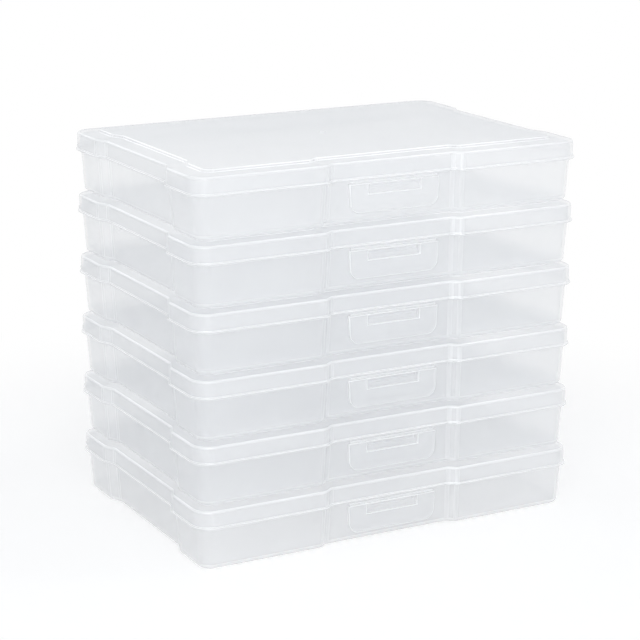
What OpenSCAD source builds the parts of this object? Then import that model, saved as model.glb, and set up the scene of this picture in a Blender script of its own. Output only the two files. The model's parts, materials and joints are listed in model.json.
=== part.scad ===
// A stack of clear moulded photo cases. Each case is a shallow tray, a lid hinged along the
// tray's back edge, and a windowed latch that hangs from the lid's front edge over a catch.
// Frame: +Z up, X across the front, -Y towards the front. The origin is the centre of the
// lowest tray's underside, midway between the front and back faces of the lid.

/* [Case] */
// Width of a case across its lid, without the bead
case_w = 168; // [150:1:190]
// Depth of a case from the front face to the back face of its lid, without the hinge
case_d = 118; // [105:1:140]
// Height of a closed case, which is also the step from case to case in the stack
case_h = 25.5; // [24:0.5:36]
// Corner radius of the lid's outline
corner_r = 7.5; // [5:0.5:12]

/* [Recesses] */
// Depth of the recesses in the front and the two sides
recess_depth = 2.5; // [1.5:0.1:3.5]
// Width of the front recess along its floor
front_recess_w = 53; // [46:1:80]
// Length of each slanted end of the front recess
front_slant = 3; // [2.5:0.5:8]
// Width of a side recess along its floor
side_recess_w = 57; // [40:1:64]
// Length of each slanted end of a side recess
side_slant = 5.5; // [3:0.5:8]

/* [Tray] */
// Height of the parting line, where the lid's edge meets the tray, above the underside
parting_h = 16.8; // [15:0.1:17.5]
// Thickness of the tray's walls
tray_wall = 1.1; // [0.8:0.1:1.4]
// Thickness of the tray's floor
tray_floor = 1.2; // [0.8:0.1:2]
// How much further in the wall is at the underside than at the parting line
tray_draft = 1; // [0.4:0.1:2]
// Radius round the tray's bottom edge
bottom_r = 2; // [1.2:0.1:3]

/* [Lid] */
// Thickness of the lid's top and skirt
lid_wall = 1.1; // [0.8:0.1:1.4]
// Height of the raised panel on which the next case stands
panel_rise = 1.2; // [0.8:0.1:2]
// Width of the flat border between the lid's outline and the raised panel
border_w = 7.4; // [6:0.1:10]
// Corner radius of the raised panel
panel_r = 4; // [2:0.5:6]
// How far the bead along the skirt's edge stands out
bead_out = 0.6; // [0.3:0.1:1]
// Height of the bead
bead_h = 1; // [0.6:0.1:1.6]
// Radius round the lid's top edge
top_edge_r = 1; // [0.6:0.1:1.6]

/* [Hinge] */
// Length of the hinge along the back
hinge_w = 161; // [120:1:164]
// How far behind the lid's back face the fold line is
hinge_out = 3.4; // [2.6:0.1:5]
// Thickness of each hinge flange at the fold
flange_t = 0.65; // [0.5:0.05:1]
// How far the lid's flange widens upwards from the fold to the skirt
lid_gusset = 1.7; // [0.5:0.1:3]
// How far the tray's flange widens downwards from the fold to the wall
tray_gusset = 1.4; // [0.5:0.1:3]

/* [Latch] */
// Width of the latch at its hinge
latch_w = 39.4; // [32:0.2:44]
// Height of the latch from the parting line to its lower edge
latch_h = 12.4; // [10:0.1:13]
// Thickness of the latch
latch_t = 1.2; // [0.9:0.1:1.5]
// How much narrower each side of the latch is at its lower edge
latch_taper = 0.6; // [0:0.1:2]
// Radius of the latch's lower corners
latch_corner_r = 4; // [1.5:0.5:5]
// Width of the window in the latch
window_w = 22.8; // [16:0.2:26]
// Height of the window in the latch
window_h = 3.5; // [3:0.1:4.5]
// Distance from the parting line down to the window
window_drop = 1.6; // [1.5:0.1:2.4]
// Radius of the folded web that carries the latch
latch_web_r = 0.4; // [0.3:0.05:0.5]

/* [Catch] */
// Gap between the catch and the window, at the two ends and above
catch_gap = 0.8; // [0.4:0.1:1.2]
// Height of the catch
catch_h = 2.4; // [1.6:0.1:2.6]

/* [Hidden] */
stack_count = 6;
PIECES = ["tray", "hinge_web", "lid", "latch_web", "latch"];

// Clearances between pieces that move
skirt_gap = 0.3;
rim_gap = 0.2;
web_gap = 0.08;
fold_gap = 0.05;
catch_clear = 0.15;

// The tray's wall stands inside the lid's skirt
lip_inset = lid_wall + skirt_gap;
base_inset = lip_inset + tray_draft;
edge_z = case_h - panel_rise;
rim_z = edge_z - lid_wall - rim_gap;

// The hinge's fold line, just behind the tips of its flanges, and the latch's
hinge_y = case_d/2 + hinge_out;
tip_y = hinge_y - fold_gap;
front_y = -case_d/2 + recess_depth;
latch_y = front_y - bead_out - 0.1;
latch_z = parting_h - latch_web_r - web_gap;
latch_inner_y = latch_y + latch_t/2;

arc_steps = 4;
step_ease = 1;
plastic = [0.86, 0.89, 0.94, 0.5];
web_plastic = [0.92, 0.94, 0.97, 0.6];

function unit(v) = v/norm(v);

// The two points that cut off a recess corner p between its neighbours a and b
function eased(a, p, b) = [p + step_ease*unit(a - p), p + step_ease*unit(b - p)];

// A round corner about centre c, from angle a through a quarter turn
function quarter(c, r, a) =
    [for (i = [0:arc_steps]) c + r*[cos(a + 90*i/arc_steps), sin(a + 90*i/arc_steps)]];

// One side of the outline from its left end to its right, seen from outside, for a face at y
// that looks towards -y: a recess with a floor of width w and slanted ends of length s
function recess(w, s, y, d) = let (
    half = w/2 + d*tan(atan(recess_depth/s)/2),
    p = [[-half - s - 9, y], [-half - s, y], [-half, y + recess_depth],
         [half, y + recess_depth], [half + s, y], [half + s + 9, y]]
) [for (i = [1:4]) each eased(p[i - 1], p[i], p[i + 1])];

function turned(points, a) = [for (p = points) [p[0]*cos(a) - p[1]*sin(a), p[0]*sin(a) + p[1]*cos(a)]];

// The case's outline, anticlockwise from above, drawn in by d with corners of radius r
function outline(d, r) = let (x = case_w/2 - d, y = case_d/2 - d) concat(
    quarter([-x + r, -y + r], r, 180),
    recess(front_recess_w, front_slant, -y, d),
    quarter([x - r, -y + r], r, 270),
    turned(recess(side_recess_w, side_slant, -x, d), 90),
    quarter([x - r, y - r], r, 0),
    quarter([-x + r, y - r], r, 90),
    turned(recess(side_recess_w, side_slant, -x, d), 270)
);

// One ring of a shell: the outline drawn in by d at height z
function ring(d, z, r) = [for (p = outline(d, r)) [p[0], p[1], z]];
function wall_ring(d, z) = ring(d, z, max(corner_r - d, 1.2));

// A closed shell through rings of equal counts, its first and last rings filled flat
module shell(rings) {
    n = len(rings[0]);
    last = len(rings) - 1;
    ends = [[0, 0, rings[0][0][2]], [0, 0, rings[last][0][2]]];
    first_end = n*len(rings);
    bands = [for (i = [0:last - 1]) for (j = [0:n - 1]) let (
        a = i*n + j, b = i*n + (j + 1)%n, c = b + n, e = a + n
    ) each [[a, c, b], [a, e, c]]];
    bottom = [for (j = [0:n - 1]) [first_end, j, (j + 1)%n]];
    top = [for (j = [0:n - 1]) [first_end + 1, last*n + (j + 1)%n, last*n + j]];
    polyhedron(concat([for (r = rings) each r], ends), concat(bands, bottom, top));
}

// A bar across the case with the given Y-Z outline
module crossbar(width, points) {
    rotate([90, 0, 90])
        translate([0, 0, -width/2])
            linear_extrude(width)
                polygon(points);
}

// The inside of the outline at inset d, from z0 to z1
module core(d, z0, z1) {
    translate([0, 0, z0])
        linear_extrude(z1 - z0)
            polygon(outline(d, corner_r - d));
}

// The tray's walls, floor, bottom radius and the lip that stands up inside the lid
module tray_shell() {
    in_lip = lip_inset + tray_wall;
    in_base = base_inset + tray_wall;
    shell([
        wall_ring(base_inset + bottom_r, 0),
        wall_ring(base_inset + bottom_r*0.3, bottom_r*0.3),
        wall_ring(base_inset, bottom_r),
        wall_ring(lip_inset, parting_h),
        wall_ring(lip_inset, rim_z),
        wall_ring(in_lip, rim_z),
        wall_ring(in_lip, parting_h),
        wall_ring(in_base, tray_floor + bottom_r*0.7),
        wall_ring(in_base + bottom_r*0.2, tray_floor + bottom_r*0.2),
        wall_ring(in_base + bottom_r*0.7, tray_floor)
    ]);
}

// The tray's half of the hinge: a flange whose top is the parting plane. It ends at the web.
module tray_flange() {
    end_y = tip_y - flange_t;
    low_z = parting_h - flange_t - tray_gusset;
    difference() {
        crossbar(hinge_w, [
            [case_d/2 - corner_r, low_z],
            [case_d/2 - lip_inset, low_z],
            [end_y, parting_h - flange_t],
            [end_y, parting_h],
            [case_d/2 - corner_r, parting_h]
        ]);
        core(lip_inset + tray_wall/2, low_z - flange_t, parting_h + flange_t);
    }
}

// The catch that the latch's window snaps over: flat below, sloped above
module catch() {
    nose_y = latch_inner_y + catch_clear;
    root_y = front_y + lip_inset + tray_wall/2;
    top_z = parting_h - window_drop - catch_gap/2;
    crossbar(window_w - 2*catch_gap, [
        [nose_y, top_z - catch_h],
        [root_y, top_z - catch_h],
        [root_y, top_z],
        [nose_y + tray_wall, top_z],
        [nose_y, top_z - catch_h/2]
    ]);
}

module tray() {
    color(plastic) {
        union() {
            tray_shell();
            tray_flange();
            catch();
        }
    }
}

// The lid's skirt with its bead, the border and the raised panel, one wall thick
module lid_shell() {
    border_z = edge_z - lid_wall;
    shell([
        ring(border_w + lid_wall + panel_rise, case_h - lid_wall, panel_r - lid_wall/2),
        ring(border_w + lid_wall, border_z, panel_r),
        wall_ring(lid_wall + top_edge_r/2, border_z),
        wall_ring(lid_wall, border_z - top_edge_r/2),
        wall_ring(lid_wall, parting_h),
        wall_ring(-bead_out/2, parting_h),
        wall_ring(-bead_out, parting_h + bead_h*0.4),
        wall_ring(-bead_out*0.7, parting_h + bead_h*0.8),
        wall_ring(0, parting_h + bead_h),
        wall_ring(0, edge_z - top_edge_r),
        wall_ring(top_edge_r*0.3, edge_z - top_edge_r*0.3),
        wall_ring(top_edge_r, edge_z),
        ring(border_w, edge_z, panel_r),
        ring(border_w + panel_rise*0.5, case_h - panel_rise*0.2, panel_r),
        ring(border_w + panel_rise, case_h, panel_r)
    ]);
}

// The lid's half of the hinge: a gusset that slopes down from the skirt to the fold
module lid_flange() {
    top_z = parting_h + flange_t + lid_gusset;
    difference() {
        crossbar(hinge_w, [
            [case_d/2 - corner_r, parting_h],
            [tip_y, parting_h],
            [tip_y, parting_h + flange_t],
            [case_d/2, top_z],
            [case_d/2 - corner_r, top_z]
        ]);
        core(lid_wall/2, parting_h - flange_t, top_z + flange_t);
    }
}

module lid() {
    color(plastic) {
        union() {
            lid_shell();
            lid_flange();
        }
    }
}

// The web along the hinge, a quarter round that ends the tray's flange under the lid's
module hinge_web() {
    color(web_plastic)
        intersection() {
            translate([-hinge_w/2, tip_y - flange_t, parting_h])
                rotate([0, 90, 0])
                    cylinder(h = hinge_w, r = flange_t, $fn = 32);
            translate([-hinge_w/2, tip_y - flange_t, parting_h - flange_t])
                cube([hinge_w, flange_t, flange_t]);
        }
}

// The web from which the latch hangs, under the bead of the front recess
module latch_web() {
    web_w = latch_w - 2;
    color(web_plastic)
        translate([-web_w/2, latch_y, latch_z])
            rotate([0, 90, 0])
                cylinder(h = web_w, r = latch_web_r, $fn = 24);
}

// The latch's face: straight at its hinge, tapered sides and round lower corners
module latch_face() {
    top_z = latch_z - latch_web_r - web_gap;
    low_z = parting_h - latch_h;
    r = latch_corner_r;
    half = latch_w/2;
    low_half = half - latch_taper;
    polygon(concat(
        [[-half, top_z]],
        quarter([-low_half + r, low_z + r], r, 180),
        quarter([low_half - r, low_z + r], r, 270),
        [[half, top_z]]
    ));
}

module latch() {
    color(plastic)
        translate([0, latch_inner_y, 0])
            rotate([90, 0, 0])
                linear_extrude(latch_t)
                    difference() {
                        latch_face();
                        translate([-window_w/2, parting_h - window_drop - window_h])
                            square([window_w, window_h]);
                    }
}

module piece(name) {
    if (name == "tray") tray();
    if (name == "hinge_web") hinge_web();
    if (name == "lid") lid();
    if (name == "latch_web") latch_web();
    if (name == "latch") latch();
}

// Each case stands on the raised panel of the one below
for (k = [1:stack_count])
    for (name = PIECES)
        translate([0, 0, (k - 1)*case_h])
                piece(name);
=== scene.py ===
import json
import math

import bmesh
import bpy
from mathutils import Matrix, Vector

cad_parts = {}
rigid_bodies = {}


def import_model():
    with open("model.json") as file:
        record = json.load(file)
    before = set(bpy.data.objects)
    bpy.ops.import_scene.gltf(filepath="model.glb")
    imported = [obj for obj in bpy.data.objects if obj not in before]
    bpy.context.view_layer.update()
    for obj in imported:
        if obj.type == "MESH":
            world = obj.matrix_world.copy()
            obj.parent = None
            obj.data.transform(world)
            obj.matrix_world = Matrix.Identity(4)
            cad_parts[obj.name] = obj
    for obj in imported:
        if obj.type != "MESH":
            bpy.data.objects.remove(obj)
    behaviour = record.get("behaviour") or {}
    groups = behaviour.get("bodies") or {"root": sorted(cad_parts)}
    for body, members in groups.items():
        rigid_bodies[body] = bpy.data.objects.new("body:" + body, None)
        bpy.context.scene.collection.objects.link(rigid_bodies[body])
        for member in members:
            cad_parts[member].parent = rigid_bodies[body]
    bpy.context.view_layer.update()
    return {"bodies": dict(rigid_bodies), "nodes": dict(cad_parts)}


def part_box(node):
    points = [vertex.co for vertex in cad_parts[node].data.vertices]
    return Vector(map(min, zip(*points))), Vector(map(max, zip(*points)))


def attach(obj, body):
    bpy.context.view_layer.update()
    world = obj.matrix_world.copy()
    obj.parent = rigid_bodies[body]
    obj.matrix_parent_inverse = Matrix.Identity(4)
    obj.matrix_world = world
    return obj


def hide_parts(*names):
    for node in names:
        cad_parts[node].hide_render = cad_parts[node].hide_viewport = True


bl_info = {
    "name": "Clear Case Stack",
    "version": (1, 0, 0),
    "blender": (4, 5, 0),
    "location": "3D View > Sidebar > Clear Cases",
    "description": "Models a stack of clear moulded photo cases over its construction model",
    "category": "Object",
}

MM = 0.001

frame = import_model()
LID_LOW, LID_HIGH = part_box("case1_lid")
STACK_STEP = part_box("case2_tray")[0].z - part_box("case1_tray")[0].z
CASES = range(1, 1 + sum(body.startswith("tray_") for body in frame["bodies"]))

# How far the bead stands out of the skirt, and how its outline's corners are rounded.
BEAD_OUT = 0.6 * MM
CORNER_STEPS = 10
LEAST_RADIUS = 1.2 * MM

# The corners of the recesses are eased over this length, in this many steps.
EASE = 1 * MM
EASE_STEPS = 3

# A flat end starts with a face of this width, so that its rim stays crisp.
HOLD = 1 * MM

# A face narrower than this is an edge of the plastic. Its mark gives real haze, where the plastic
# is seen edge on, and a painted highlight.
NARROW = 0.7 * MM

# It is level where its normal's height is more than the first, and slopes upwards where it
# is more than the second. It stands upright where its longest side rises by more than the
# third, as a share of that side.
# An edge that slopes upwards gets the painted highlight in full, as light from above would catch
# it; upright ones and ones that look down get less.
LEVEL = 0.95
UPWARD = 0.2
STANDING = 0.7

# Faces that meet at less than the first are shaded smooth, and the latch is rounded where
# they meet at more than the second.
SMOOTH_BELOW = math.radians(32)
SHARP_ABOVE = math.radians(50)

# Most of a noise pattern's values lie between these.
NOISE_RANGE = 0.3, 0.7

# Each lamp's direction from the stack and the width of its square.
FRONT_LAMP = (-0.6, -1.2, 0.4), 1
TOP_LAMP = (0.46, -0.26, 0.85), 0.25
BACK_LAMP = (-0.26, 0.85, 0.46), 0.25
LAMP_DISTANCE = 1.2

# The floor is a disc just below the stack.
FLOOR_RADIUS = 6
FLOOR_DROP = 0.2 * MM

# Near the stack it shows a shadow, which fades to plain white between these distances.
FADE_FROM = 0.12
FADE_TO = 0.3


def length(name, about, default):
    return bpy.props.FloatProperty(
        name=name, description=about, default=default, min=0, precision=5, unit="LENGTH"
    )


def share(name, about, default):
    return bpy.props.FloatProperty(
        name=name, description=about, default=default, min=0, max=1, subtype="FACTOR"
    )


def colour(name, about, default):
    return bpy.props.FloatVectorProperty(
        name=name, description=about, default=default, min=0, max=1, size=3, subtype="COLOR"
    )


def number(name, about, default):
    return bpy.props.FloatProperty(name=name, description=about, default=default, min=0)


class CaseSizes(bpy.types.PropertyGroup):
    """The sizes of one case."""

    width: length("Width", "Of the lid without its bead", LID_HIGH.x - LID_LOW.x - 2 * BEAD_OUT)
    depth: length("Depth", "From the lid's front face to its back face", 118 * MM)
    height: length("Height", "From the tray's underside to the lid's panel", LID_HIGH.z)
    parting: length("Parting line", "Height of the lid's lower edge", LID_LOW.z)
    corner: length("Corner radius", "Radius of the lid's outline at its corners", 7.5 * MM)
    recess: length("Recess depth", "Depth of the recesses in front and sides", 2.5 * MM)
    front_recess: length("Front recess", "Width of the front recess's floor", 53 * MM)
    front_slant: length("Front slant", "Length of the front recess's slanted ends", 3 * MM)
    side_recess: length("Side recess", "Width of a side recess's floor", 57 * MM)
    side_slant: length("Side slant", "Length of a side recess's slanted ends", 5.5 * MM)
    wall: length("Wall", "Thickness of the tray's walls and of the lid", 1.1 * MM)
    floor: length("Floor", "Thickness of the tray's floor", 1.2 * MM)
    draft: length("Draft", "How much further in the tray's wall is at its foot", 1 * MM)
    foot: length("Foot radius", "Radius round the tray's lower edge", 2 * MM)
    rim: length("Rim radius", "Radius on the thin edges of tray and lid", 0.2 * MM)
    skirt_gap: length("Skirt gap", "Between the tray's wall and the lid's skirt", 0.3 * MM)
    rim_gap: length("Rim gap", "Between the tray's rim and the lid", 0.2 * MM)
    panel_rise: length("Panel rise", "Height of the lid's raised panel", 1.2 * MM)
    border: length("Border", "Width of the flat border round the panel", 7.4 * MM)
    panel_corner: length("Panel corner", "Corner radius of the raised panel", 4 * MM)
    bead: length("Bead", "Height of the bead along the skirt's lower edge", 1 * MM)
    top_edge: length("Top edge", "Radius round the lid's top edge", 1 * MM)
    gate: length("Gate mark", "Diameter of the round mark in the middle of the lid", 3 * MM)
    gate_depth: length("Gate depth", "Depth of the round mark", 0.44 * MM)
    pip: length("Pip", "Height of the pip that stands in the round mark", 0.308 * MM)
    hinge: length("Hinge", "Length of the hinge along the back", 161 * MM)
    fold: length("Fold", "How far behind the lid the flanges end", 3.35 * MM)
    flange: length("Flange", "Thickness of a hinge flange at the fold", 0.65 * MM)
    lid_gusset: length("Lid gusset", "How far the lid's flange widens to the skirt", 1.7 * MM)
    tray_gusset: length("Tray gusset", "How far the tray's flange widens to the wall", 1.4 * MM)
    latch_width: length("Latch width", "Width of the latch at its hinge", 39.4 * MM)
    latch_taper: length("Latch taper", "How much narrower each side is at the foot", 0.6 * MM)
    latch_corner: length("Latch corner", "Radius of the latch's lower corners", 4 * MM)
    latch_edge: length("Latch edge", "Radius on the latch's edges", 0.4 * MM)
    window: length("Window", "Width of the window in the latch", 22.8 * MM)
    window_height: length("Window height", "Height of the window in the latch", 3.5 * MM)
    window_drop: length("Window drop", "From the parting line down to the window", 1.6 * MM)
    catch_gap: length("Catch gap", "Between the catch and the window's ends", 0.8 * MM)
    catch_height: length("Catch height", "Height of the catch on the tray", 2.4 * MM)
    catch_clear: length("Catch clearance", "Between the catch and the latch at rest", 0.15 * MM)


class CaseLooks(bpy.types.PropertyGroup):
    """The finish of the moulded plastic, with the painted highlight on its edges."""

    cool: colour("Cool tint", "The plastic where it is thickest", (0.972, 0.979, 0.99))
    pale: colour("Pale tint", "The plastic where it is thinnest", (0.98, 0.985, 0.992))
    web: colour("Fold tint", "The plastic whitened by folding", (0.98, 0.985, 0.99))
    clear: share("Clear haze", "Opacity of a clear face seen straight on", 0.27)
    milky: share("Milky haze", "Opacity of a milky face seen straight on", 0.33)
    # Edge haze is real where the plastic is seen edge on; on the marked edges it is also part of a
    # painted highlight.
    edge: share("Edge haze", "Opacity of an edge, and of a face seen edge on", 0.65)
    # Painted highlight: upright edges and edges that look down get this share of the edge mark, so
    # they show dimmer than edges that slope upwards.
    upright: share("Upright edges", "How bright upright edges are next to others", 0.25)
    slant: share("Slant", "How far a face turns away before its haze thickens", 0.62)
    # Painted highlight: marked edges turn partly metal and mirror the room, which stands in for the
    # light the plastic carries to its edges.
    sparkle: share("Sparkle", "Share of an edge that mirrors the room", 0.16)
    glow: share("Glow", "Share of the haze that passes light through", 0.5)
    gloss: share("Roughness", "Roughness of the moulded surface", 0.2)
    mottle: share("Mottle", "How much the grain changes the roughness", 0.06)
    web_clear: share("Fold haze", "Opacity of the folded plastic where it is clearest", 0.5)
    web_milky: share("Fold milk", "Opacity of the folded plastic where it is milkiest", 0.6)
    flow: number("Flow", "Flow marks in a metre", 26)
    grain: number("Grain", "Grains of the surface in a metre", 1800)
    bump: length("Bump", "Height of the surface's grain", 0.02 * MM)
    relief: share("Relief", "How much of the grain's height shows", 0.12)


class StageLooks(bpy.types.PropertyGroup):
    """The camera, the floor and the lights."""

    azimuth: bpy.props.FloatProperty(
        name="Azimuth",
        description="How far to the left of the front the camera stands",
        default=math.radians(28.32),
        subtype="ANGLE",
    )
    elevation: bpy.props.FloatProperty(
        name="Elevation",
        description="How far above the level the camera stands",
        default=math.radians(14.92),
        subtype="ANGLE",
    )
    distance: length("Distance", "From the camera to what it looks at", 863.8 * MM)
    lens: number("Lens", "Focal length for a 36 mm frame", 117.3)
    target: bpy.props.FloatVectorProperty(
        name="Target",
        description="The point in the middle of the picture",
        default=(3.28 * MM, 8.2 * MM, 72.7 * MM),
        subtype="TRANSLATION",
        unit="LENGTH",
    )
    room: colour("Room", "The colour of the light from all round", (0.945, 0.968, 1))
    room_light: number("Room light", "Strength of the light from all round", 0.67)
    lamp: colour("Lamp", "The colour of the lamps", (0.98, 0.99, 1))
    front_light: number("Front light", "Watts of the large lamp in front", 7)
    top_light: number("Top light", "Watts of the lamp that catches the front edges", 0.6)
    back_light: number("Back light", "Watts of the lamp that catches the side edges", 0.5)
    floor_bounce: colour("Floor bounce", "Colour of the light off the floor", (0.5, 0.5, 0.5))
    floor_shade: colour("Floor shade", "What a shadow darkens of the floor", (0.66, 0.655, 0.65))
    floor_glow: number("Floor glow", "What no shadow darkens of the floor", 0.44)


# ---------------------------------------------------------------- modelling


def pick(obj, kind, wanted):
    """Selects the vertices, edges or faces that are wanted, and nothing else."""
    bpy.ops.mesh.select_mode(type=kind)
    bpy.ops.mesh.select_all(action="DESELECT")
    mesh = bmesh.from_edit_mesh(obj.data)
    items = {"VERT": mesh.verts, "EDGE": mesh.edges, "FACE": mesh.faces}[kind]
    for item in items:
        if wanted(item):
            item.select_set(True)
    mesh.select_flush_mode()
    bmesh.update_edit_mesh(obj.data)


def drawn(name, corners):
    """A flat face drawn from corner to corner, left in edit mode with all of it selected."""
    bpy.ops.object.select_all(action="DESELECT")
    bpy.ops.mesh.primitive_plane_add(size=MM)
    obj = bpy.context.object
    obj.name = name
    bpy.ops.object.mode_set(mode="EDIT")
    bpy.ops.mesh.select_mode(type="VERT")
    bpy.ops.mesh.select_all(action="SELECT")
    bpy.ops.mesh.merge(type="CENTER")
    bpy.ops.transform.translate(value=corners[0])
    for before, after in zip(corners, corners[1:]):
        step = Vector(after) - Vector(before)
        bpy.ops.mesh.extrude_vertices_move(TRANSFORM_OT_translate={"value": step})
    bpy.ops.mesh.select_all(action="SELECT")
    bpy.ops.mesh.edge_face_add()
    return obj


def outline(sizes, inset, z):
    """The case's corners from the front left, anticlockwise, drawn in by inset."""
    x = sizes.width / 2 - inset
    y = sizes.depth / 2 - inset

    def side(edge, floor, slant):
        """The corners of a recess in a side that faces -Y, from left to right."""
        half = floor / 2 + inset * math.tan(math.atan(sizes.recess / slant) / 2)
        inner = sizes.recess - edge
        return [(-half - slant, -edge), (-half, inner), (half, inner), (half + slant, -edge)]

    front = side(y, sizes.front_recess, sizes.front_slant)
    end = side(x, sizes.side_recess, sizes.side_slant)
    right = [(-v, u) for u, v in end]
    left = [(v, -u) for u, v in end]
    flat = [(-x, -y), *front, (x, -y), *right, (x, y), (-x, y), *left]
    return [(u, v, z) for u, v in flat]


def ring(sizes, name, count, inset, z, radius):
    """One closed line round the case at an inset and a height, with round corners."""
    obj = drawn(name, outline(sizes, inset, z))
    x = sizes.width / 2 - inset - EASE / 2
    y = sizes.depth / 2 - inset - EASE / 2

    def at_corner(vertex):
        return abs(vertex.co.x) > x and abs(vertex.co.y) > y

    pick(obj, "VERT", lambda vertex: not at_corner(vertex))
    bpy.ops.mesh.bevel(offset=EASE, segments=EASE_STEPS, affect="VERTICES")
    pick(obj, "VERT", at_corner)
    bpy.ops.mesh.bevel(offset=radius, segments=CORNER_STEPS, affect="VERTICES")
    bpy.ops.mesh.select_all(action="SELECT")
    bpy.ops.mesh.delete(type="ONLY_FACE")
    bpy.ops.object.mode_set(mode="OBJECT")
    numbers = obj.data.attributes.new("ring", "INT", "POINT")
    numbers.data.foreach_set("value", [count] * len(obj.data.vertices))
    return obj


def pick_rings(obj, kind, *wanted):
    """Selects the vertices or the edges of the wanted rings."""
    numbers = bmesh.from_edit_mesh(obj.data).verts.layers.int["ring"]

    def along(item):
        found = {vertex[numbers] for vertex in getattr(item, "verts", [item])}
        return len(found) == 1 and found.pop() in wanted

    pick(obj, kind, along)


def lofted(sizes, name, rings):
    """A closed shell through rings of (inset, height, radius), filled at both ends.

    The rings are bridged one above the other, which pairs their corners rightly, and then
    moved to their heights.
    """
    lines = [
        ring(sizes, name, count, inset, count * STACK_STEP, radius)
        for count, (inset, z, radius) in enumerate(rings)
    ]
    bpy.ops.object.select_all(action="DESELECT")
    for line in lines:
        line.select_set(True)
    obj = lines[0]
    bpy.context.view_layer.objects.active = obj
    bpy.ops.object.join()
    bpy.ops.object.mode_set(mode="EDIT")
    for count in range(1, len(rings)):
        pick_rings(obj, "EDGE", count - 1, count)
        bpy.ops.mesh.bridge_edge_loops()
    for end in (0, len(rings) - 1):
        pick_rings(obj, "EDGE", end)
        bpy.ops.mesh.edge_face_add()
    for count, (inset, z, radius) in enumerate(rings):
        pick_rings(obj, "VERT", count)
        bpy.ops.transform.translate(value=(0, 0, z - count * STACK_STEP))
    bpy.ops.mesh.select_all(action="SELECT")
    bpy.ops.mesh.normals_make_consistent(inside=False)
    bpy.ops.object.mode_set(mode="OBJECT")
    obj.data.attributes.remove(obj.data.attributes["ring"])
    return obj


def fillet(inset, z, radius, start, end, steps=4):
    """(inset, height) along an arc of a wall's section: 0 degrees is inwards, 90 up."""
    turns = [math.radians(start + (end - start) * i / steps) for i in range(steps + 1)]
    return [(inset + radius * math.cos(a), z + radius * math.sin(a)) for a in turns]


def walls(sizes, section):
    """Rings from (inset, height) pairs whose corners stay round the outline's centres."""
    return [(inset, z, max(sizes.corner - inset, LEAST_RADIUS)) for inset, z in section]


def extruded(name, corners, way):
    """A solid with the given flat end, extruded along way."""
    obj = drawn(name, corners)
    bpy.ops.mesh.extrude_region_move(TRANSFORM_OT_translate={"value": way})
    bpy.ops.mesh.select_all(action="SELECT")
    bpy.ops.mesh.normals_make_consistent(inside=False)
    bpy.ops.object.mode_set(mode="OBJECT")
    return obj


def crossbar(name, width, section):
    """A bar across the case with the given (y, z) section."""
    return extruded(name, [(-width / 2, y, z) for y, z in section], (width, 0, 0))


def combined(obj, other, operation):
    """obj joined with or cut by other, which is used up."""
    bpy.ops.object.select_all(action="DESELECT")
    obj.select_set(True)
    bpy.context.view_layer.objects.active = obj
    bpy.ops.object.modifier_add(type="BOOLEAN")
    cut = obj.modifiers[-1]
    cut.operation = operation
    cut.object = other
    bpy.ops.object.modifier_apply(modifier=cut.name)
    bpy.data.objects.remove(other)
    return obj


def mark_edge_haze_and_highlight(obj, upright):
    """Marks the faces narrower than NARROW, which are edges of the plastic, and shades round ones
    smooth.

    The mark is real haze where the plastic is seen edge on, and a painted highlight. Those that
    slope upwards catch the light and are marked in full. The ones that stand upright or look down
    are marked by the share given, and level ones not at all.
    """
    mesh = obj.data
    haze_and_highlight_marks = []
    for face in mesh.polygons:
        sides = [mesh.vertices[b].co - mesh.vertices[a].co for a, b in face.edge_keys]
        longest = max(sides, key=lambda side: side.length)
        standing = abs(longest.z) > STANDING * longest.length
        level = abs(face.normal.z) > LEVEL
        # Painted highlight: faces that slope upwards, where light from above would catch them, get
        # the full mark; the rest get the share given.
        mark = upright if standing or face.normal.z < UPWARD else 1
        haze_and_highlight_marks.append(mark if face.area / longest.length < NARROW and not level else 0)
    # The edge attribute carries the real haze and the painted highlight to the plastic's shader.
    marks = mesh.attributes.new("edge", "FLOAT", "FACE")
    marks.data.foreach_set("value", haze_and_highlight_marks)
    bpy.ops.object.select_all(action="DESELECT")
    obj.select_set(True)
    bpy.context.view_layer.objects.active = obj
    bpy.ops.object.shade_smooth_by_angle(angle=SMOOTH_BELOW)
    return obj


def repeated(obj, part, material):
    """Copies the piece modelled for the first case to every case and fits it to its body."""
    for case in CASES:
        bpy.ops.object.select_all(action="DESELECT")
        obj.select_set(True)
        bpy.context.view_layer.objects.active = obj
        bpy.ops.object.duplicate()
        copy = bpy.context.object
        copy.name = f"clear_{part}_{case}"
        bpy.ops.transform.translate(value=(0, 0, STACK_STEP * (case - 1)))
        bpy.ops.object.transform_apply(location=True, rotation=False, scale=False)
        copy.data.materials.clear()
        copy.data.materials.append(material)
        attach(copy, f"{part}_{case}")
        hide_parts(f"case{case}_{part}")
    bpy.data.objects.remove(obj)


# ---------------------------------------------------------------- the plastic


def node(tree, kind, inputs=None, **settings):
    """A new shader node, its inputs set to values or linked to other nodes' outputs."""
    made = tree.nodes.new("ShaderNode" + kind)
    for name, value in settings.items():
        setattr(made, name, value)
    for name, value in (inputs or {}).items():
        if isinstance(value, bpy.types.NodeSocket):
            tree.links.new(value, made.inputs[name])
        else:
            made.inputs[name].default_value = value
    return made


def ramp(tree, value, *ends, **settings):
    """The value, with its range from one pair of ends moved to the other."""
    names = ("From Min", "From Max", "To Min", "To Max")
    inputs = {"Value": value, **dict(zip(names, ends))}
    return node(tree, "MapRange", inputs, **settings).outputs[0]


def empty_material(name):
    material = bpy.data.materials.new(name)
    material.use_nodes = True
    material.node_tree.nodes.clear()
    return material, material.node_tree


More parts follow.
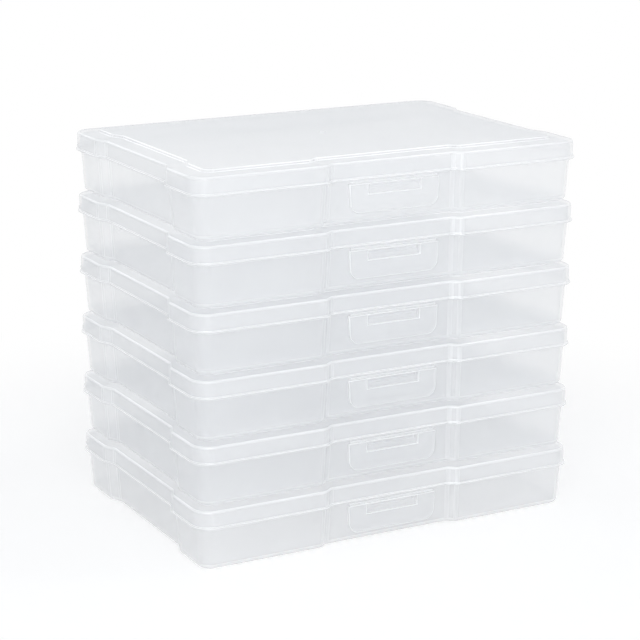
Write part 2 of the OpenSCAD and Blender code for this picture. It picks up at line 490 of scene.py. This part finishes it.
def clear_plastic(name, looks, cool, pale, clear, milky):
    """Milky moulded polypropylene: clear straight on, white at a slant, and bright at its edges,
    partly from real haze and partly from a painted highlight.
    """
    material, tree = empty_material(name)
    place = node(tree, "TexCoord").outputs["Object"]

    def noise(scale, detail):
        inputs = {"Vector": place, "Scale": scale, "Detail": detail}
        return node(tree, "TexNoise", inputs).outputs["Fac"]

    marks = noise(looks.flow, 1)
    grain = noise(looks.grain, 0)
    # The edge mark: real haze where the plastic is seen edge on, and a painted highlight, in full
    # on edges that slope upwards.
    edge = node(tree, "Attribute", attribute_name="edge").outputs["Fac"]
    facing = node(tree, "LayerWeight", {"Blend": 0.5}).outputs["Facing"]
    flat = ramp(tree, marks, *NOISE_RANGE, clear, milky)
    slant = ramp(tree, facing, looks.slant, 1, flat, looks.edge, interpolation_type="SMOOTHSTEP")
    # Marked edges are hazier: real haze seen edge on, and part of the painted highlight.
    opaque = ramp(tree, edge, 0, 1, slant, looks.edge)
    tint = (*pale, 1)
    if cool != pale:
        blend = {"Factor": marks, "A": (*cool, 1), "B": tint}
        tint = node(tree, "Mix", blend, data_type="RGBA").outputs["Result"]
    bump = node(tree, "Bump", {"Height": grain, "Strength": looks.relief, "Distance": looks.bump})
    rough = ramp(tree, grain, 0, 1, looks.gloss - looks.mottle, looks.gloss + looks.mottle)
    skin = node(
        tree,
        "BsdfPrincipled",
        {
            "Base Color": tint,
            # Painted highlight: marked edges turn partly metal and mirror the room.
            "Metallic": ramp(tree, edge, 0, 1, 0, looks.sparkle),
            "Roughness": rough,
            "IOR": 1.49,
            "Normal": bump.outputs[0],
        },
    )
    glow = node(tree, "BsdfTranslucent", {"Color": (*pale, 1)})
    glowing = ramp(tree, edge, 0, 1, looks.glow, 0)
    body = node(tree, "MixShader", {0: glowing, 1: skin.outputs[0], 2: glow.outputs[0]})
    through = node(tree, "BsdfTransparent")
    surface = node(tree, "MixShader", {0: opaque, 1: through.outputs[0], 2: body.outputs[0]})
    node(tree, "OutputMaterial", {"Surface": surface.outputs[0]})
    return material


def moulded_plastic(part, looks):
    """The clear plastic of the trays, lids or latches."""
    return clear_plastic(f"{part}_plastic", looks, looks.cool, looks.pale, looks.clear, looks.milky)


# ---------------------------------------------------------------- the pieces


class CASE_OT_trays(bpy.types.Operator):
    """Models the tray with its hinge flange and catch, once for each case"""

    bl_idname = "clear_case.trays"
    bl_label = "Trays"

    def execute(self, context):
        sizes = context.scene.case_sizes
        looks = context.scene.case_looks
        lip = sizes.wall + sizes.skirt_gap
        foot = lip + sizes.draft
        rim_z = sizes.height - sizes.panel_rise - sizes.wall - sizes.rim_gap
        inner_foot = sizes.foot * 0.7
        inner = foot + sizes.wall
        rim = sizes.rim
        section = [
            (foot + sizes.foot + HOLD, 0),
            *fillet(foot + sizes.foot, sizes.foot, sizes.foot, 270, 180, 5),
            (lip, sizes.parting),
            *fillet(lip + rim, rim_z - rim, rim, 180, 90, 3),
            *fillet(lip + sizes.wall - rim, rim_z - rim, rim, 90, 0, 3),
            (lip + sizes.wall, sizes.parting),
            *fillet(inner + inner_foot, sizes.floor + inner_foot, inner_foot, 180, 270, 5),
            (inner + inner_foot + HOLD, sizes.floor),
        ]
        tray = lofted(sizes, "tray", walls(sizes, section))
        tray = combined(tray, self.flange(sizes, lip), "UNION")
        tray = combined(tray, self.catch(sizes, lip), "UNION")
        # The tray's edges get real haze and a painted highlight.
        repeated(mark_edge_haze_and_highlight(tray, looks.upright), "tray", moulded_plastic("tray", looks))
        return {"FINISHED"}

    def flange(self, sizes, lip):
        """The tray's half of the hinge, which ends at the folded web."""
        back = sizes.depth / 2
        end = back + sizes.fold - sizes.flange
        low = sizes.parting - sizes.flange - sizes.tray_gusset
        section = [
            (back - sizes.corner, low),
            (back - lip, low),
            (end, sizes.parting - sizes.flange),
            (end, sizes.parting),
            (back - sizes.corner, sizes.parting),
        ]
        bar = crossbar("tray_flange", sizes.hinge, section)
        middle = lip + sizes.wall / 2
        core = walls(sizes, [(middle, low - sizes.flange), (middle, sizes.parting + sizes.flange)])
        return combined(bar, lofted(sizes, "core", core), "DIFFERENCE")

    def catch(self, sizes, lip):
        """The catch that the latch's window snaps over, in the middle of the recess."""
        latch_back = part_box("case1_latch")[1].y
        nose = latch_back + sizes.catch_clear
        root = sizes.recess - sizes.depth / 2 + lip + sizes.wall / 2
        top = sizes.parting - sizes.window_drop - sizes.catch_gap / 2
        section = [
            (nose, top - sizes.catch_height),
            (root, top - sizes.catch_height),
            (root, top),
            (nose + sizes.wall, top),
            (nose, top - sizes.catch_height / 2),
        ]
        return crossbar("catch", sizes.window - 2 * sizes.catch_gap, section)


class CASE_OT_lids(bpy.types.Operator):
    """Models the lid with its bead, raised panel and hinge flange, once for each case"""

    bl_idname = "clear_case.lids"
    bl_label = "Lids"

    def execute(self, context):
        sizes = context.scene.case_sizes
        looks = context.scene.case_looks
        rim, wall, edge = sizes.rim, sizes.wall, sizes.top_edge
        top = sizes.height - sizes.panel_rise
        roll = sizes.bead / 2
        skirt = [
            *fillet(wall + edge / 2, top - wall - edge / 2, edge / 2, 90, 180, 3),
            *fillet(wall - rim, sizes.parting + rim, rim, 0, -90, 3),
            *fillet(roll - BEAD_OUT, sizes.parting + roll, roll, 270, 90, 8),
            (0, sizes.parting + sizes.bead + rim),
            *fillet(edge, top - edge, edge, 180, 90, 5),
        ]
        under = sizes.border + wall
        below = [
            (under + sizes.panel_rise + HOLD, sizes.height - wall),
            (under + sizes.panel_rise, sizes.height - wall),
            (under, top - wall),
            (under - rim, top - wall),
        ]
        ridge = sizes.panel_rise * 0.6
        above = [
            *fillet(sizes.border - rim, top + 2 * rim, 2 * rim, 270, 330, 3),
            *fillet(sizes.border + sizes.panel_rise, sizes.height - ridge, ridge, 150, 90, 4),
            (sizes.border + sizes.panel_rise + HOLD, sizes.height),
        ]
        rings = [
            *[(inset, z, sizes.panel_corner) for inset, z in below],
            *walls(sizes, skirt),
            *[(inset, z, sizes.panel_corner) for inset, z in above],
        ]
        lid = lofted(sizes, "lid", rings)
        lid = combined(lid, self.flange(sizes), "UNION")
        lid = combined(lid, self.gate_mark(sizes), "DIFFERENCE")
        # The lid's edges get real haze and a painted highlight.
        repeated(mark_edge_haze_and_highlight(lid, looks.upright), "lid", moulded_plastic("lid", looks))
        return {"FINISHED"}

    def flange(self, sizes):
        """The lid's half of the hinge, a gusset that slopes down to the fold."""
        back = sizes.depth / 2
        tip = back + sizes.fold
        top = sizes.parting + sizes.flange + sizes.lid_gusset
        section = [
            (back - sizes.corner, sizes.parting),
            (tip, sizes.parting),
            (tip, sizes.parting + sizes.flange),
            (back, top),
            (back - sizes.corner, top),
        ]
        bar = crossbar("lid_flange", sizes.hinge, section)
        middle = sizes.wall / 2
        core = walls(sizes, [(middle, sizes.parting - sizes.flange), (middle, top + sizes.flange)])
        return combined(bar, lofted(sizes, "core", core), "DIFFERENCE")

    def gate_mark(self, sizes):
        """The round hollow, with a pip in it, where the plastic entered the mould."""
        depth = sizes.gate_depth
        rim = sizes.gate / 2
        bpy.ops.object.select_all(action="DESELECT")
        bpy.ops.mesh.primitive_cone_add(
            vertices=32,
            radius1=rim - depth,
            radius2=rim + depth,
            depth=2 * depth,
            location=(0, 0, sizes.height),
        )
        bpy.ops.object.transform_apply(location=True)
        mark = bpy.context.object
        bpy.ops.object.mode_set(mode="EDIT")
        pick(mark, "FACE", lambda face: face.normal.z < -0.9)
        bpy.ops.mesh.inset(thickness=rim / 2)
        bpy.ops.mesh.inset(thickness=depth / 3, depth=-sizes.pip)
        bpy.ops.object.mode_set(mode="OBJECT")
        return mark


class CASE_OT_latches(bpy.types.Operator):
    """Models the windowed latch, once for each case"""

    bl_idname = "clear_case.latches"
    bl_label = "Latches"

    def execute(self, context):
        sizes = context.scene.case_sizes
        looks = context.scene.case_looks
        low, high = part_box("case1_latch")
        half = sizes.latch_width / 2
        foot = half - sizes.latch_taper
        corners = [(-half, high.z), (-foot, low.z), (foot, low.z), (half, high.z)]
        latch = drawn("latch", [(x, low.y, z) for x, z in corners])
        pick(latch, "VERT", lambda vertex: vertex.co.z < low.z + EASE)
        bpy.ops.mesh.bevel(offset=sizes.latch_corner, segments=CORNER_STEPS, affect="VERTICES")
        bpy.ops.mesh.select_all(action="SELECT")
        bpy.ops.mesh.extrude_region_move(TRANSFORM_OT_translate={"value": (0, high.y - low.y, 0)})
        bpy.ops.mesh.select_all(action="SELECT")
        bpy.ops.mesh.normals_make_consistent(inside=False)
        bpy.ops.object.mode_set(mode="OBJECT")
        latch = combined(latch, self.window(sizes, low, high), "DIFFERENCE")
        bpy.ops.object.modifier_add(type="BEVEL")
        rounding = latch.modifiers[-1]
        rounding.width = sizes.latch_edge
        rounding.segments = 3
        rounding.limit_method = "ANGLE"
        rounding.angle_limit = SHARP_ABOVE
        bpy.ops.object.modifier_apply(modifier=rounding.name)
        # Every edge of the latch gets real haze and the painted highlight in full.
        repeated(mark_edge_haze_and_highlight(latch, 1), "latch", moulded_plastic("latch", looks))
        return {"FINISHED"}

    def window(self, sizes, low, high):
        """What is cut out for the window, through the latch and beyond."""
        half = sizes.window / 2
        top = sizes.parting - sizes.window_drop
        foot = top - sizes.window_height
        front = low.y - EASE
        corners = [(-half, top), (-half, foot), (half, foot), (half, top)]
        through = (0, high.y - low.y + 2 * EASE, 0)
        return extruded("window", [(x, front, z) for x, z in corners], through)


class CASE_OT_webs(bpy.types.Operator):
    """Gives the construction model's folded webs, which show as they are, whitened plastic"""

    bl_idname = "clear_case.webs"
    bl_label = "Folded webs"

    def execute(self, context):
        looks = context.scene.case_looks
        plastic = clear_plastic(
            "web_plastic", looks, looks.web, looks.web, looks.web_clear, looks.web_milky
        )
        for name, obj in frame["nodes"].items():
            if name.endswith("_web"):
                obj.data.materials.clear()
                obj.data.materials.append(plastic)
        return {"FINISHED"}


# ---------------------------------------------------------------- the stage


def seen_directly(tree):
    """1 for what the camera, a reflection or glass shows, and 0 for light on other things."""
    path = node(tree, "LightPath").outputs
    shown = path["Is Camera Ray"]
    for name in ("Is Glossy Ray", "Is Transmission Ray"):
        shown = node(tree, "Math", {0: shown, 1: path[name]}, operation="MAXIMUM").outputs[0]
    return shown


class CASE_OT_stage(bpy.types.Operator):
    """Sets up the pale floor, the soft light and the camera"""

    bl_idname = "clear_case.stage"
    bl_label = "Stage"

    def execute(self, context):
        looks = context.scene.stage_looks
        scene = context.scene
        scene.view_settings.view_transform = "Standard"
        scene.cycles.transparent_max_bounces = 64
        scene.cycles.diffuse_bounces = 14
        self.camera(scene, looks)
        self.room(scene, looks)
        self.floor(looks)
        self.lamp("front_lamp", *FRONT_LAMP, looks.lamp, looks.front_light)
        self.lamp("top_lamp", *TOP_LAMP, looks.lamp, looks.top_light)
        self.lamp("back_lamp", *BACK_LAMP, looks.lamp, looks.back_light)
        return {"FINISHED"}

    def camera(self, scene, looks):
        """The camera at the photograph's angle, looking along the stack's front left."""
        east, north = math.sin(looks.azimuth), math.cos(looks.azimuth)
        level = math.cos(looks.elevation)
        ahead = Vector((east * level, north * level, -math.sin(looks.elevation)))
        right = Vector((north, -east, 0))
        up = right.cross(ahead)
        bpy.ops.object.camera_add()
        camera = bpy.context.object
        camera.name = "camera"
        camera.data.sensor_width = 36
        camera.data.lens = looks.lens
        turn = Matrix((right, up, -ahead)).transposed()
        place = Vector(looks.target) - ahead * looks.distance
        camera.matrix_world = Matrix.Translation(place) @ turn.to_4x4()
        scene.camera = camera

    def room(self, scene, looks):
        """White to look at, with an even light on everything."""
        world = bpy.data.worlds.new("room")
        world.use_nodes = True
        tree = world.node_tree
        tree.nodes.clear()
        light = node(tree, "Background", {"Color": (*looks.room, 1), "Strength": looks.room_light})
        white = node(tree, "Background", {"Color": (1, 1, 1, 1), "Strength": 1})
        shown = seen_directly(tree)
        mixed = node(tree, "MixShader", {0: shown, 1: light.outputs[0], 2: white.outputs[0]})
        node(tree, "OutputWorld", {"Surface": mixed.outputs[0]})
        scene.world = world

    def floor(self, looks):
        """A pale floor that reads white, with the stack's soft shadow on it."""
        bpy.ops.object.select_all(action="DESELECT")
        bpy.ops.mesh.primitive_circle_add(
            vertices=96, radius=FLOOR_RADIUS, fill_type="NGON", location=(0, 0, -FLOOR_DROP)
        )
        floor = bpy.context.object
        floor.name = "floor"
        bpy.ops.object.transform_apply(location=True)
        material, tree = empty_material("pale_floor")
        plain = node(tree, "BsdfDiffuse", {"Color": (*looks.floor_bounce, 1)})
        shaded = node(tree, "BsdfDiffuse", {"Color": (*looks.floor_shade, 1)})
        glow = node(tree, "Emission", {"Color": (1, 1, 1, 1), "Strength": looks.floor_glow})
        near = node(tree, "AddShader", {0: shaded.outputs[0], 1: glow.outputs[0]})
        white = node(tree, "Emission", {"Color": (1, 1, 1, 1), "Strength": 1})
        place = node(tree, "TexCoord").outputs["Object"]
        away = node(tree, "VectorMath", {0: place}, operation="LENGTH").outputs["Value"]
        fade = ramp(tree, away, FADE_FROM, FADE_TO, 0, 1, interpolation_type="SMOOTHSTEP")
        look = node(tree, "MixShader", {0: fade, 1: near.outputs[0], 2: white.outputs[0]})
        shown = seen_directly(tree)
        mixed = node(tree, "MixShader", {0: shown, 1: plain.outputs[0], 2: look.outputs[0]})
        node(tree, "OutputMaterial", {"Surface": mixed.outputs[0]})
        floor.data.materials.append(material)

    def lamp(self, name, towards, size, tint, watts):
        """A soft square lamp that shines at the stack from the direction given."""
        centre = Vector((0, 0, STACK_STEP * len(CASES) / 2))
        way = Vector(towards).normalized()
        turn = (-way).to_track_quat("-Z", "Y").to_euler()
        place = centre + way * LAMP_DISTANCE
        bpy.ops.object.light_add(type="AREA", location=place, rotation=turn)
        lamp = bpy.context.object
        lamp.name = name
        lamp.data.size = size
        lamp.data.energy = watts
        lamp.data.color = tint


class CASE_PT_panel(bpy.types.Panel):
    """Lists the sizes, the looks and the steps of the model"""

    bl_idname = "CASE_PT_panel"
    bl_label = "Clear Case Stack"
    bl_space_type = "VIEW_3D"
    bl_region_type = "UI"
    bl_category = "Clear Cases"

    def draw(self, context):
        scene = context.scene
        for group in (scene.case_sizes, scene.case_looks, scene.stage_looks):
            box = self.layout.box()
            for name in group.__annotations__:
                box.prop(group, name)
        for step in STEPS:
            self.layout.operator(step.bl_idname)


STEPS = (CASE_OT_webs, CASE_OT_trays, CASE_OT_lids, CASE_OT_latches, CASE_OT_stage)
CLASSES = (CaseSizes, CaseLooks, StageLooks, *STEPS, CASE_PT_panel)


def register():
    for cls in CLASSES:
        bpy.utils.register_class(cls)
    bpy.types.Scene.case_sizes = bpy.props.PointerProperty(type=CaseSizes)
    bpy.types.Scene.case_looks = bpy.props.PointerProperty(type=CaseLooks)
    bpy.types.Scene.stage_looks = bpy.props.PointerProperty(type=StageLooks)


def unregister():
    del bpy.types.Scene.stage_looks
    del bpy.types.Scene.case_looks
    del bpy.types.Scene.case_sizes
    for cls in reversed(CLASSES):
        bpy.utils.unregister_class(cls)


def main():
    """Builds the stack."""
    register()
    bpy.ops.clear_case.webs()
    bpy.ops.clear_case.trays()
    bpy.ops.clear_case.lids()
    bpy.ops.clear_case.latches()
    bpy.ops.clear_case.stage()


if __name__ == "__main__":
    main()
